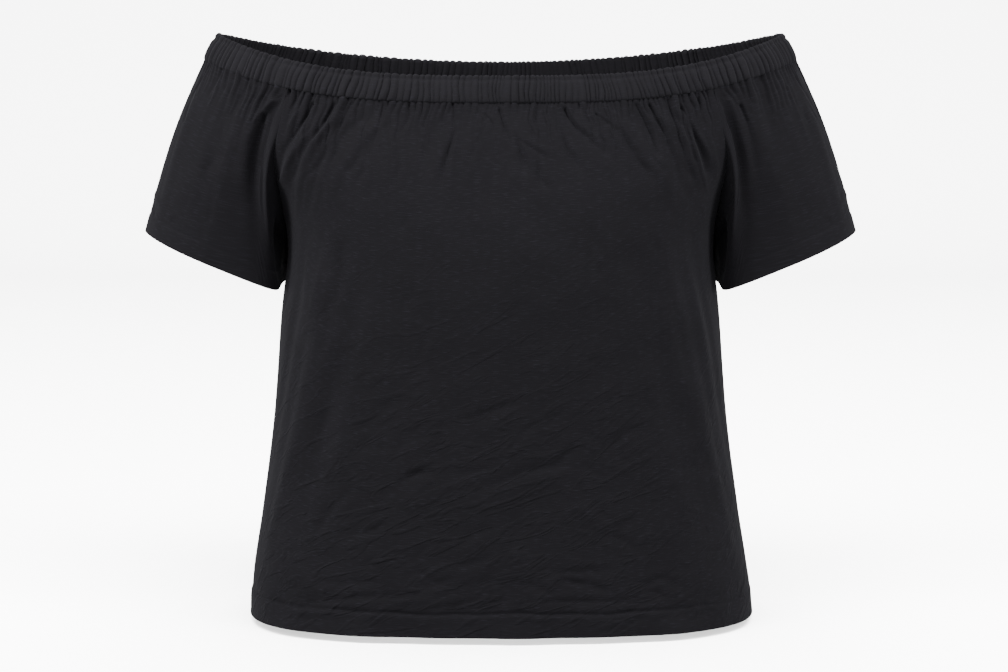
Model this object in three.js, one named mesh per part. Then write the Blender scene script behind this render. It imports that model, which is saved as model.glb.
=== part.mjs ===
// An off-the-shoulder blouse in slub jersey, held out as if worn: front, back, two
// short flared sleeves, and one elastic casing that gathers all four at the neck.
// Millimetres, +Z up, the front faces -Y. The origin is the middle of the neckline.
import * as THREE from "three";

// Cloth
const clothWall = 1.5;
const seamGap = 0.3;
const hemDepth = 24;
const hemRise = 0.5; // how far the turned hem stands proud of the single cloth
const sleeveHemDepth = 18;

// Casing of the elastic neckline: a top and a lower oval, with the cloth gathered between
const casingTop = { halfWidth: 263, front: 112, back: 99, sideZ: 16.5 };
const casingSeam = { halfWidth: 276.5, front: 120, back: 106, sideZ: -8 };
const casingThick = 4.4;
const casingBulge = 1.6;
const neckBox = 0.03;

// How far the neckline sinks from the shoulders to the centre, how flat it lies across
// the middle, and how softly it rises at the shoulder.
const neckDip = {
  front: { sink: 31.8, flat: 3.5, soft: 1.4 },
  back: { sink: 31.3, flat: 2.1, soft: 0.95 },
};

// Gathers along the neckline, in all, and their height
const gathers = 150;
const gatherHeight = { casing: 1.1, cloth: 1.3 };
const gatherReach = 34;

// Body from the neckline down: side height, half width, depth in front and behind,
// how square the section is, and the angle at which front and back meet the sleeve.
const armpitZ = -178;
const hemZ = -531;
const bodyRows = [
  { z: -8, halfWidth: 276.5, front: 120, back: 106, box: 0.03, frontSeam: 43.0, backSeam: 44.0 },
  { z: -48, halfWidth: 262, front: 133, back: 113, box: 0.04, frontSeam: 48.0, backSeam: 49.0 },
  { z: -90, halfWidth: 234, front: 144, back: 118, box: 0.05, frontSeam: 58.5, backSeam: 60.0 },
  { z: -130, halfWidth: 212, front: 151, back: 122, box: 0.05, frontSeam: 72.0, backSeam: 73.0 },
  { z: -160, halfWidth: 205, front: 153, back: 124, box: 0.05, frontSeam: 84.0, backSeam: 84.0 },
  { z: -178, halfWidth: 204.5, front: 153, back: 124, box: 0.05, frontSeam: 90, backSeam: 90 },
  { z: -228, halfWidth: 207, front: 150, back: 122, box: 0.06, frontSeam: 90, backSeam: 90 },
  { z: -330, halfWidth: 214, front: 143, back: 119, box: 0.07, frontSeam: 90, backSeam: 90 },
  { z: -430, halfWidth: 226.5, front: 138, back: 122, box: 0.08, frontSeam: 90, backSeam: 90 },
  { z: -490, halfWidth: 236, front: 136, back: 126, box: 0.09, frontSeam: 90, backSeam: 90 },
  { z: -531, halfWidth: 241, front: 135, back: 128, box: 0.1, frontSeam: 90, backSeam: 90 },
];

// Long soft folds of front and back: where each begins and ends, as an angle from the
// centre and a height at the side, with its half width in degrees and its rise or sink.
const bodyFolds = [
  { from: 47, fromZ: -200, to: 66, toZ: -500, half: 5.0, rise: 3.6 },
  { from: 38, fromZ: -210, to: 54, toZ: -480, half: 6.5, rise: -3.0 },
  { from: 58, fromZ: -185, to: 76, toZ: -420, half: 5.0, rise: -2.6 },
  { from: 24, fromZ: -30, to: 47, toZ: -130, half: 2.6, rise: 2.4 },
  { from: 28, fromZ: -30, to: 55, toZ: -140, half: 2.4, rise: -2.4 },
  { from: 33, fromZ: -30, to: 63, toZ: -150, half: 2.6, rise: 2.6 },
  { from: 12, fromZ: -30, to: 20, toZ: -110, half: 2.4, rise: -1.6 },
  { from: 5, fromZ: -30, to: 8, toZ: -120, half: 2.0, rise: 1.2 },
];

// Sleeve opening: an oval, tilted up towards the outside, and squared off beside the body
const cuff = { x: 272.5, y: -3, z: -193, half: 62.5, inner: 64.5, rise: 26, depth: 62 };
const neckShare = { from: 0.23, to: 0.77 }; // part of the sleeve head that meets the casing
const cuffShare = { from: 0.2, to: 0.8 }; // part of the cuff below that
const underarmSlit = 0.3;

// Sleeve folds: from head to cuff, as a share round the sleeve
const sleeveFolds = [
  { at: 0.27, drift: -0.05, half: 0.028, rise: 3.2 },
  { at: 0.33, drift: -0.03, half: 0.028, rise: -2.6 },
  { at: 0.41, drift: 0.0, half: 0.026, rise: 2.2 },
  { at: 0.5, drift: 0.0, half: 0.03, rise: -1.6 },
  { at: 0.6, drift: 0.01, half: 0.03, rise: 2.2 },
  { at: 0.68, drift: 0.03, half: 0.028, rise: -2.4 },
  { at: 0.74, drift: 0.05, half: 0.028, rise: 2.6 },
];

const charcoal = new THREE.Color(0x28282b);
const casingCharcoal = new THREE.Color(0x2b2b2d);
const degree = Math.PI / 180;

const mix = (a, b, t) => a + (b - a) * t;
const clamp01 = (t) => Math.min(1, Math.max(0, t));
const ease = (t) => clamp01(t) ** 2 * (3 - 2 * clamp01(t));
const bump = (t) => (Math.abs(t) < 1 ? Math.cos((t * Math.PI) / 2) ** 2 : 0);

// A column of the table at a height, through its rows with a smooth curve. A slope is
// kept flat where the column doesn't change, so the curve never overshoots.
function tableAt(rows, key, z) {
  const last = rows.length - 1;
  if (z >= rows[0].z) return rows[0][key];
  if (z <= rows[last].z) return rows[last][key];
  const i = rows.findIndex((row, k) => k < last && z <= row.z && z > rows[k + 1].z);
  const step = (k) => (rows[k + 1][key] - rows[k][key]) / (rows[k + 1].z - rows[k].z);
  const slope = (k) => {
    if (k === 0) return step(0);
    if (k === last) return step(last - 1);
    const before = step(k - 1);
    const after = step(k);
    return before * after <= 0 ? 0 : (2 * before * after) / (before + after);
  };
  const long = rows[i + 1].z - rows[i].z;
  const t = (z - rows[i].z) / long;
  const [a, b] = [rows[i][key], rows[i + 1][key]];
  return (
    a * (1 + 2 * t) * (1 - t) ** 2 +
    slope(i) * long * t * (1 - t) ** 2 +
    b * t * t * (3 - 2 * t) +
    slope(i + 1) * long * t * t * (t - 1)
  );
}

// Oval of the garment at an angle from the front centre: an ellipse pushed out a little
// at its four corners, deeper in front than behind.
function ovalPoint(oval, box, angle, z) {
  const push = 1 + box * Math.sin(2 * angle) ** 2;
  const depth = Math.cos(angle) > 0 ? oval.front : oval.back;
  return new THREE.Vector3(
    oval.halfWidth * Math.sin(angle) * push,
    -depth * Math.cos(angle) * push,
    z,
  );
}

const neckDrop = (angle) => {
  const { sink, flat, soft } = Math.cos(angle) > 0 ? neckDip.front : neckDip.back;
  return sink * Math.max(0, 1 - Math.abs(Math.sin(angle)) ** flat) ** soft;
};

// Point of the neckline: 0 on the seam below the casing, 1 on its top edge
function neckPoint(angle, up) {
  const oval = {
    halfWidth: mix(casingSeam.halfWidth, casingTop.halfWidth, up),
    front: mix(casingSeam.front, casingTop.front, up),
    back: mix(casingSeam.back, casingTop.back, up),
  };
  const z = mix(casingSeam.sideZ, casingTop.sideZ, up) - neckDrop(angle);
  return ovalPoint(oval, neckBox, angle, z);
}

// Gathers: the phase follows the length along the neckline, where an angle at the front
// spans more cloth than one at the shoulder, and runs unevenly, so that no two gathers
// are the same width.
const frontSpan = 0.205;
const gatherPhase = (angle) =>
  (gathers * (angle + frontSpan * Math.sin(2 * angle))) / (2 * Math.PI) +
  0.3 * Math.sin(5 * angle + 0.7) +
  0.2 * Math.sin(11 * angle + 2.1) +
  0.12 * Math.sin(23 * angle);
const gatherSize = (angle) => {
  const wide = 0.02 / (gatherPhase(angle + 0.01) - gatherPhase(angle - 0.01));
  return Math.min(1.25, 0.35 + (0.55 * wide * gathers) / (2 * Math.PI));
};
const gatherWave = (angle) => Math.cos(2 * Math.PI * gatherPhase(angle)) * gatherSize(angle);

// Angles between two limits at which the phase passes a whole or half number: one
// column on each crest and one in each trough.
function gatherAngles(from, to, perGather = 2) {
  const found = [];
  const steps = 6000;
  const level = (angle) => Math.floor(gatherPhase(angle) * perGather);
  for (let i = 0; i < steps; i += 1) {
    const a = mix(from, to, i / steps);
    const b = mix(from, to, (i + 1) / steps);
    if (level(a) !== level(b)) found.push((a + b) / 2);
  }
  return found;
}

// A panel's point before folds: u runs -1 to 1 from seam to seam, counterclockwise seen
// from above, z is the side height of its row, side is 1 for the front, -1 for the back.
function bodyPoint(u, z, side) {
  const oval = {
    halfWidth: tableAt(bodyRows, "halfWidth", z),
    front: tableAt(bodyRows, "front", z),
    back: tableAt(bodyRows, "back", z),
  };
  const seam = tableAt(bodyRows, side > 0 ? "frontSeam" : "backSeam", z) * degree;
  const angle = (side > 0 ? 0 : Math.PI) + u * seam;
  const faded = clamp01((z - hemZ) / (bodyRows[0].z - hemZ));
  return ovalPoint(oval, tableAt(bodyRows, "box", z), angle, z - neckDrop(angle) * faded);
}

function bodyRelief(u, z, side) {
  const seam = tableAt(bodyRows, side > 0 ? "frontSeam" : "backSeam", z);
  const angle = Math.abs(u) * seam;
  let rise = 0;
  for (const fold of bodyFolds) {
    const t = (z - fold.fromZ) / (fold.toZ - fold.fromZ);
    const fade = t < 0 ? ease(1 + t * 3) : Math.cos((clamp01(t) * Math.PI) / 2);
    rise += fold.rise * fade * bump((angle - mix(fold.from, fold.to, t)) / fold.half);
  }
  const topSeam = side > 0 ? bodyRows[0].frontSeam : bodyRows[0].backSeam;
  const neckAngle = (side > 0 ? 0 : Math.PI) + u * topSeam * degree;
  const below = bodyRows[0].z - z;
  const gather = gatherHeight.cloth * Math.exp(-((below / gatherReach) ** 2));
  const nearSeam = 1 - ease((Math.abs(u) - 0.9) / 0.1) * ease(below / gatherReach);
  const hem = hemRise * ease((hemZ + hemDepth - z) / 3);
  return rise * ease(below / 25) * nearSeam + gather * gatherWave(neckAngle) + hem;
}

// Sleeve head, where share runs round the sleeve from the underarm, over the front, the
// shoulder and the back, to the underarm again.
function sleeveHead(share) {
  const { from, to } = neckShare;
  if (share >= from && share <= to) {
    const t = (share - from) / (to - from);
    const angle = mix(bodyRows[0].frontSeam, 180 - bodyRows[0].backSeam, t) * degree;
    return neckPoint(angle, 0);
  }
  const front = share < from;
  const t = front ? share / from : (1 - share) / (1 - to);
  const z = mix(bodyRows[0].z, armpitZ, Math.cos((t * Math.PI) / 2));
  return front ? bodyPoint(1, z, 1) : bodyPoint(-1, z, -1);
}

// Where the cloth heads as it leaves the head of the sleeve: outwards and down from the
// neckline, level with the body beside the armhole, then forward out of the pocket that
// the armhole's lower part makes, and down beside the body.
function sleeveStart(share) {
  const { from, to } = neckShare;
  const over = clamp01((share - from) / (to - from));
  const angle = mix(bodyRows[0].frontSeam, 180 - bodyRows[0].backSeam, over) * degree;
  const corner = 1 - ease(Math.min(over, 1 - over) / 0.12);
  const lean = mix(0.24, 0.54, Math.sin(angle) ** 4) + 0.55 * corner;
  const level = 0.25 * Math.sign(Math.cos(angle)) * Math.cos(angle) ** 2;
  const ahead = mix(-0.3 * Math.cos(angle), level, corner);
  const fromNeck = new THREE.Vector3(lean * Math.sin(angle), ahead, -0.9).normalize();
  if (share >= from && share <= to) return fromNeck;
  const front = share < from;
  const down = 1 - (front ? share / from : (1 - share) / (1 - to));
  const pocket = Math.sin(Math.PI * ease((down - 0.3) / 0.7));
  const forward = 0.75 * pocket - 0.15 * (1 - ease(down / 0.4));
  const outwards = 0.16 + 0.45 * (1 - ease(down / 0.5)) + 0.1 * pocket;
  const creased = new THREE.Vector3(outwards, front ? -forward : forward, -0.9);
  return fromNeck.lerp(creased, ease(down * 4)).normalize();
}

function cuffPoint(share) {
  const { from, to } = neckShare;
  let turn = mix(cuffShare.from, cuffShare.to, (share - from) / (to - from));
  if (share < from) turn = (share / from) * cuffShare.from;
  if (share > to) turn = 1 - ((1 - share) / (1 - to)) * (1 - cuffShare.to);
  const angle = turn * 2 * Math.PI;
  const side = Math.cos(angle);
  const out = side < 0 ? -cuff.half * side : -cuff.inner * (1 - (1 - side) ** 3);
  return new THREE.Vector3(
    cuff.x + out,
    cuff.y - cuff.depth * Math.sin(angle),
    cuff.z + (cuff.rise * out) / cuff.half,
  );
}

function cuffEnd(share) {
  const angle = share * 2 * Math.PI;
  const outer = (1 - Math.cos(angle)) / 2;
  return new THREE.Vector3(mix(0.02, 0.27, outer), -0.1 * Math.sin(angle), -1).normalize();
}

// A sleeve's point before folds: a smooth curve from its head to its cuff
function sleevePoint(share, down) {
  const start = sleeveHead(share);
  const end = cuffPoint(share);
  const reach = start.distanceTo(end);
  const t2 = down * down;
  const t3 = t2 * down;
  return start
    .multiplyScalar(2 * t3 - 3 * t2 + 1)
    .addScaledVector(sleeveStart(share), (t3 - 2 * t2 + down) * reach)
    .addScaledVector(end, 3 * t2 - 2 * t3)
    .addScaledVector(cuffEnd(share), (t3 - t2) * reach);
}

function sleeveRelief(share, down) {
  const { from, to } = neckShare;
  let rise = 0;
  for (const fold of sleeveFolds) {
    const fade = Math.sin(Math.PI * clamp01(0.12 + down * 0.8)) ** 1.2;
    rise += fold.rise * fade * bump((share - fold.at - fold.drift * down) / fold.half);
  }
  const onNeck = ease((share - from) / 0.02) * ease((to - share) / 0.02);
  const t = clamp01((share - from) / (to - from));
  const angle = mix(bodyRows[0].frontSeam, 180 - bodyRows[0].backSeam, t) * degree;
  const long = sleeveHead(share).distanceTo(cuffPoint(share));
  const gather = gatherHeight.cloth * Math.exp(-(((down * long) / gatherReach) ** 2));
  const hem = hemRise * ease(((down - 1) * long + sleeveHemDepth) / 3);
  return rise * onNeck * ease(down * 5) + gather * onNeck * gatherWave(angle) + hem;
}

// The outward normal of a surface, from steps along its two parameters
function normalOf(surface, u, v, [uLow, uHigh], [vLow, vHigh], flip) {
  const du = (uHigh - uLow) * 2e-3;
  const dv = (vHigh - vLow) * 2e-3;
  const within = (x, low, high) => Math.min(Math.max(x, Math.min(low, high)), Math.max(low, high));
  const along = surface(within(u + du, uLow, uHigh), v).sub(
    surface(within(u - du, uLow, uHigh), v),
  );
  const down = surface(u, within(v + dv, vLow, vHigh)).sub(
    surface(u, within(v - dv, vLow, vHigh)),
  );
  return along.cross(down).multiplyScalar(flip).normalize();
}

// A cloth wall as one closed body. Each row holds outer and inner points from one edge
// to the other, and rows may have different counts, as long as they share both ends.
function clothSolid(rows) {
  const positions = [];
  const outer = [];
  const inner = [];
  for (const row of rows) {
    for (const [list, key] of [[outer, "out"], [inner, "in"]]) {
      list.push(row.map((point) => {
        positions.push(...point[key].toArray());
        return positions.length / 3 - 1;
      }));
    }
  }
  const faces = [];
  const strip = (a, b, sa, sb) => {
    let [i, j] = [0, 0];
    while (i < a.length - 1 || j < b.length - 1) {
      const takeA = j === b.length - 1 || (i < a.length - 1 && sa[i + 1] <= sb[j + 1] + 1e-9);
      if (takeA) faces.push(a[i], b[j], a[i + 1]);
      else faces.push(a[i], b[j], b[j + 1]);
      if (takeA) i += 1;
      else j += 1;
    }
  };
  const places = rows.map((row) => row.map((point) => point.u));
  const back = (list) => [...list].reverse();
  for (let r = 0; r + 1 < rows.length; r += 1) {
    strip(outer[r], outer[r + 1], places[r], places[r + 1]);
    const turned = (list) => back(list).map((x) => -x);
    strip(back(inner[r]), back(inner[r + 1]), turned(places[r]), turned(places[r + 1]));
  }
  strip(inner[0], outer[0], places[0], places[0]);
  const end = rows.length - 1;
  strip(outer[end], inner[end], places[end], places[end]);
  const edge = (pick) => [outer.map(pick), inner.map(pick)];
  const down = rows.map((_, k) => k);
  const [firstOut, firstIn] = edge((list) => list[0]);
  const [lastOut, lastIn] = edge((list) => list[list.length - 1]);
  strip(firstOut, firstIn, down, down);
  strip(lastIn, lastOut, down, down);
  const geometry = new THREE.BufferGeometry();
  geometry.setAttribute("position", new THREE.Float32BufferAttribute(positions, 3));
  geometry.setIndex(faces);
  return geometry;
}

// Columns of a gathered edge, thinned out by keeping each nth one and both ends
function thinned(columns, keep) {
  return columns.filter((_, k) => k % keep === 0 || k === columns.length - 1);
}

// Front (side 1) or back (side -1). Its rows begin dense, below the gathers, and the
// cloth's edges stand half a seam gap off the sleeve and the other panel.
function bodyPanel(side) {
  const seam = (side > 0 ? bodyRows[0].frontSeam : bodyRows[0].backSeam) * degree;
  const middle = side > 0 ? 0 : Math.PI;
  const gathered = gatherAngles(middle - seam, middle + seam)
    .map((angle) => (angle - middle) / seam);
  const top = [-1, ...gathered.filter((u) => Math.abs(u) < 0.99), 1];
  const even = (count) => Array.from({ length: count + 1 }, (_, k) => -1 + (2 * k) / count);
  const topZ = bodyRows[0].z;
  const heights = [
    ...[0.4, 6, 14, 26].map((below) => [topZ - below, top]),
    ...[42, 60, 80, 102, 124].map((below) => [topZ - below, thinned(top, 2)]),
    ...[145, armpitZ, -200, -235, -270, -310, -350, -395, -440, -475, hemZ + hemDepth + 2]
      .map((z) => [z > 0 ? topZ - z : z, even(34)]),
    ...[hemZ + hemDepth - 2, hemZ].map((z) => [z, even(34)]),
  ];
  const surface = (u, z) => bodyPoint(u, z, side);
  const rows = heights.map(([z, columns]) => columns.map((u) => {
    const normal = normalOf(surface, u, z, [-1, 1], [hemZ, topZ], 1);
    const out = surface(u, z).addScaledVector(normal, bodyRelief(u, z, side));
    const off = Math.abs(u) === 1 ? seamGap / 2 : 0;
    const inwards = surface(u * 0.99, z).sub(surface(u, z)).normalize();
    if (off) out.addScaledVector(inwards, off);
    return { u, out, in: out.clone().addScaledVector(normal, -clothWall) };
  }));
  return clothSolid(rows);
}

// Right sleeve, or the left one by mirroring it
function sleeve(mirror) {
  const { from, to } = neckShare;
  const [frontSeam, backSeam] = [bodyRows[0].frontSeam, 180 - bodyRows[0].backSeam];
  const shareOf = (angle) => mix(from, to, (angle / degree - frontSeam) / (backSeam - frontSeam));
  const arc = gatherAngles(frontSeam * degree, backSeam * degree).map(shareOf);
  const inner = arc.filter((share) => share > from + 0.004 && share < to - 0.004);
  const seamPart = Array.from({ length: 9 }, (_, k) => (k * from) / 9);
  const head = [...seamPart, from, ...inner, to, ...seamPart.map((s) => 1 - s).reverse()];
  const even = Array.from({ length: 37 }, (_, k) => k / 36);
  const downs = [
    ...[0.0, 0.035, 0.08, 0.15].map((down) => [down, head]),
    ...[0.24, 0.34, 0.45, 0.56, 0.67, 0.78, 0.88, 0.91, 1].map((down) => [down, even]),
  ];
  const rows = downs.map(([down, columns]) => columns.map((share) => {
    const normal = normalOf(sleevePoint, share, down, [0, 1], [0, 1], -1);
    const out = sleevePoint(share, down).addScaledVector(normal, sleeveRelief(share, down));
    const offHead = (1 - down) ** 6;
    const crease = share < from || share > to ? 1.6 : 0.35;
    out.addScaledVector(sleeveStart(share), offHead * (seamGap + crease * seamGap));
    if (share === 0) out.y -= underarmSlit / 2;
    if (share === 1) out.y += underarmSlit / 2;
    return { u: share, out, in: out.clone().addScaledVector(normal, -clothWall) };
  }));
  const turn = (point) => ({ ...point, out: flipped(point.out), in: flipped(point.in) });
  const flipped = (v) => new THREE.Vector3(-v.x, v.y, v.z);
  const back = (row) => row.map((point) => turn({ ...point, u: 1 - point.u })).reverse();
  return clothSolid(mirror ? rows.map(back) : rows);
}

// The casing: a flat oval tube of gathered cloth over elastic, swept round the neck
function casing() {
  const angles = gatherAngles(-Math.PI, Math.PI);
  const section = [
    { up: 0, out: 0, ripple: 0.6 },
    { up: 0.16, out: 1, ripple: 1 },
    { up: 0.5, out: 1.4, ripple: 0.8 },
    { up: 0.86, out: 0.95, ripple: 1 },
    { up: 1, out: 0, ripple: 0.7 },
    { up: 0.8, out: -1, ripple: -0.5 },
    { up: 0.2, out: -1, ripple: -0.5 },
  ];
  const positions = [];
  for (const angle of angles) {
    const across = neckPoint(angle + 0.01, 0.5).sub(neckPoint(angle - 0.01, 0.5));
    const rise = neckPoint(angle, 1).sub(neckPoint(angle, 0));
    const normal = across.cross(rise).normalize();
    const wave = gatherWave(angle) * gatherHeight.casing;
    for (const { up, out, ripple } of section) {
      const point = neckPoint(angle, mix(0.02, 1, up));
      const stand = (casingThick / 2) * out + (out > 1 ? casingBulge / 4 : 0);
      point.addScaledVector(normal, stand + wave * ripple);
      positions.push(...point.toArray());
    }
  }
  const faces = [];
  const across = section.length;
  for (let i = 0; i < angles.length; i += 1) {
    const next = (i + 1) % angles.length;
    for (let k = 0; k < across; k += 1) {
      const [a, b] = [i * across + k, i * across + ((k + 1) % across)];
      const [c, d] = [next * across + k, next * across + ((k + 1) % across)];
      faces.push(a, c, b, b, c, d);
    }
  }
  const geometry = new THREE.BufferGeometry();
  geometry.setAttribute("position", new THREE.Float32BufferAttribute(positions, 3));
  geometry.setIndex(faces);
  return geometry;
}

function piece(name, geometry, color) {
  geometry.computeVertexNormals();
  const finish = new THREE.MeshStandardMaterial({ color, roughness: 0.9, metalness: 0 });
  const mesh = new THREE.Mesh(geometry, finish);
  mesh.name = name;
  return mesh;
}

const blouse = new THREE.Group();
blouse.add(
  piece("front", bodyPanel(1), charcoal),
  piece("back", bodyPanel(-1), charcoal),
  piece("sleeve_right", sleeve(false), charcoal),
  piece("sleeve_left", sleeve(true), charcoal),
  piece("neck_casing", casing(), casingCharcoal),
);

export default blouse;
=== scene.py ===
# Off-the-shoulder blouse in charcoal slub jersey, filled out as if worn.
# Sizes are in millimetres up to the point where a mesh is made; one unit of the scene is a metre.
import bpy
import math
import numpy as np
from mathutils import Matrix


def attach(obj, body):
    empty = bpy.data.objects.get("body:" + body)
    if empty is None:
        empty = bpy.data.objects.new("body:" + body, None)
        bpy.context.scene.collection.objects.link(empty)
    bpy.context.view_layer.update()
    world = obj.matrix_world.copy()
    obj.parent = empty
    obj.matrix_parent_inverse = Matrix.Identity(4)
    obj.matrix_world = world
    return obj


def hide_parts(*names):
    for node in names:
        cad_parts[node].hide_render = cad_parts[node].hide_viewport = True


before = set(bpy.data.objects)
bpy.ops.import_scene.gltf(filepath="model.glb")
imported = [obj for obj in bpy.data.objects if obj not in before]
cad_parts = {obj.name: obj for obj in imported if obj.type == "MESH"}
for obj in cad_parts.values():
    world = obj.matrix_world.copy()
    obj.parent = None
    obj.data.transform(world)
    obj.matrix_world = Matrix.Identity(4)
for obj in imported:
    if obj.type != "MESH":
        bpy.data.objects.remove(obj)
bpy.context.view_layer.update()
mm = 0.001
cloth = {"thick": 0.9, "hemRaised": 0.5}


# sRGB hex to linear light, by the sRGB curve
def linear(hexColour):
    parts = [int(hexColour[i:i + 2], 16) / 255 for i in (1, 3, 5)]
    return [c / 12.92 if c <= 0.04045 else ((c + 0.055) / 1.055) ** 2.4 for c in parts] + [1.0]


# 0 to 1 by three t squared less two t cubed, level at both ends
def ease(t):
    t = np.clip(t, 0, 1)
    return t * t * (3 - 2 * t)


# A squared cosine from -1 to 1, and nothing beyond
def bump(t):
    return np.where(np.abs(t) < 1, np.cos(np.clip(t, -1, 1) * np.pi / 2) ** 2, 0)


# Straight from a to b
def mix(a, b, t):
    return a + (b - a) * t


# Each vector over its own length
def unit(v):
    return v / np.linalg.norm(v, axis=-1, keepdims=True)


# Oval: half width times sine, depth times cosine of the angle from the front centre,
# both pushed out by box times the squared sine of twice the angle
def ovalPoint(halfWidth, front, back, box, angle, z):
    push = 1 + box * np.sin(2 * angle) ** 2
    depth = np.where(np.cos(angle) > 0, front, back)
    return np.stack(np.broadcast_arrays(
        halfWidth * np.sin(angle) * push, -depth * np.cos(angle) * push, z), -1)


# The neckline: an oval at the casing's seam and one at its top edge, and how far both sink
# at the front and the back
neck = {
    "seam": {"halfWidth": 276.5, "front": 120, "back": 106, "sideZ": -8},
    "top": {"halfWidth": 263, "front": 112, "back": 99, "sideZ": 16.5},
    "box": 0.03,
    "dipFront": {"sink": 31.8, "flat": 3.5, "soft": 1.4},
    "dipBack": {"sink": 31.3, "flat": 2.1, "soft": 0.95},
}


# Sink of the neckline: full at the centre, level across the middle, nothing at the shoulder
def neckDrop(angle):
    side = np.abs(np.sin(angle))
    front, back = (dip["sink"] * np.clip(1 - side ** dip["flat"], 0, 1) ** dip["soft"]
                   for dip in (neck["dipFront"], neck["dipBack"]))
    return np.where(np.cos(angle) > 0, front, back)


# Neckline: its two ovals, mixed by height (0 at the seam, 1 at the top), lowered by the sink
def neckPoint(angle, up):
    halfWidth, front, back, sideZ = (mix(neck["seam"][key], neck["top"][key], up)
                                     for key in ("halfWidth", "front", "back", "sideZ"))
    return ovalPoint(halfWidth, front, back, neck["box"], angle, sideZ - neckDrop(angle))


# The gathers: frontSpan says how much more cloth an angle spans at the front than at the
# shoulder. They rise height over cloth that is sunk, and die away over reach; round the
# armhole seams, at an angle in degrees, they are drawn in more, over crowdReach degrees.
gathers = {
    "count": 244,
    "seed": 11,
    "frontSpan": 0.205,
    "height": 1.5,
    "sunk": 0.9,
    "reach": 38,
    "armhole": 43.5,
    "crowdReach": 15,
    "calm": 0.8,
    "crowded": 0.6,
}

# Each gather has four random numbers: two heights, a length and a width. The edges between
# them are laid out by width.
gatherRandom = np.random.default_rng(gathers["seed"]).random((4, gathers["count"]))
gatherWide = 0.5 + gatherRandom[3]
gatherEdges = np.concatenate([[0], np.cumsum(gatherWide)]) / gatherWide.sum()


# Gathers passed up to an angle, by length along the neckline: a valley lies at each whole one
def gatherPhase(angle):
    share = (angle + gathers["frontSpan"] * np.sin(2 * angle)) / (2 * np.pi)
    turns = np.floor(share)
    whole = np.interp(share - turns, gatherEdges, np.arange(gathers["count"] + 1.0))
    return whole + turns * gathers["count"]


# How much the cloth is drawn in: calm, and more by a bell round each of the armhole seams
def gatherCrowd(angle):
    fromCentre = np.degrees(np.abs(np.arctan2(np.sin(angle), np.abs(np.cos(angle)))))
    off = fromCentre - gathers["armhole"]
    return gathers["calm"] + gathers["crowded"] * np.exp(-(off / gathers["crowdReach"]) ** 2)


# Gathers under a seam: rounded crests between sharp valleys, by a power of a sine, that lean
# a little. Each has its own height, and dies away over its own length, so that some run on
# as long soft folds.
def gatherRelief(angle, below):
    lean = 0.005 * np.sin(below / 9 + 3 * angle), 0.003 * np.sin(below / 4 + 40 * angle)
    phase = gatherPhase(angle + lean[0] + lean[1])
    own = np.floor(phase).astype(int) % gathers["count"]
    crowd = gatherCrowd(angle)
    reach = gathers["reach"] * (0.25 + 1.1 * gatherRandom[1, own] ** 2) * crowd
    crest = np.abs(np.sin(np.pi * phase)) ** 0.75
    fade = np.exp(-(below / reach) ** 1.5)
    high = gatherWide[own] * (0.6 + 1.1 * gatherRandom[0, own])
    sunk = gathers["sunk"] * np.exp(-(below / gathers["reach"]) ** 2)
    return gathers["height"] * crowd * (1.25 * high * crest * fade - sunk)


# A smooth curve through points, by the Catmull-Rom formula, four steps to each stretch
def curveThrough(points):
    p = np.array(points, float)
    p = np.concatenate([[2 * p[0] - p[1]], p, [2 * p[-1] - p[-2]]])
    t = np.arange(4)[:, None] / 4
    parts = [0.5 * (2 * p[i] + (p[i + 1] - p[i - 1]) * t
                    + (2 * p[i - 1] - 5 * p[i] + 4 * p[i + 1] - p[i + 2]) * t ** 2
                    + (3 * p[i] - p[i - 1] - 3 * p[i + 1] + p[i + 2]) * t ** 3)
             for i in range(1, len(p) - 2)]
    return np.concatenate(parts + [p[-2:-1]])


# The shape of all creases. The tables give each one's half width, rise and points; deepen
# multiplies the rise. A crease whose first point is above seamY starts at full depth. Near
# the neckline creases are narrower; they widen from one height down, over so many mm.
creaseShape = {"deepen": 1.6, "shoulder": 0.3, "seamY": -24, "narrow": 0.72, "widens": (-25, 60)}


# Nearest point of a line of points to each place: its distance, the share of the line passed
# there, and the distance with a sign for the side
def nearestOn(line, px, py):
    near = np.full(px.shape, 1e9)
    along, across = np.zeros(px.shape), np.zeros(px.shape)
    stretch = np.linalg.norm(np.diff(line, axis=0), axis=1)
    passed = np.concatenate([[0], np.cumsum(stretch)])
    for k, long in enumerate(stretch):
        (ax, ay), (bx, by) = line[k], line[k + 1]
        t = np.clip(((px - ax) * (bx - ax) + (py - ay) * (by - ay)) / long ** 2, 0, 1)
        ox, oy = px - ax - t * (bx - ax), py - ay - t * (by - ay)
        away = np.hypot(ox, oy)
        closer = away < near
        near = np.where(closer, away, near)
        along = np.where(closer, (passed[k] + t * long) / passed[-1], along)
        across = np.where(closer, ((bx - ax) * oy - (by - ay) * ox) / long, across)
    return near, along, np.sign(across) * near


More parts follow.
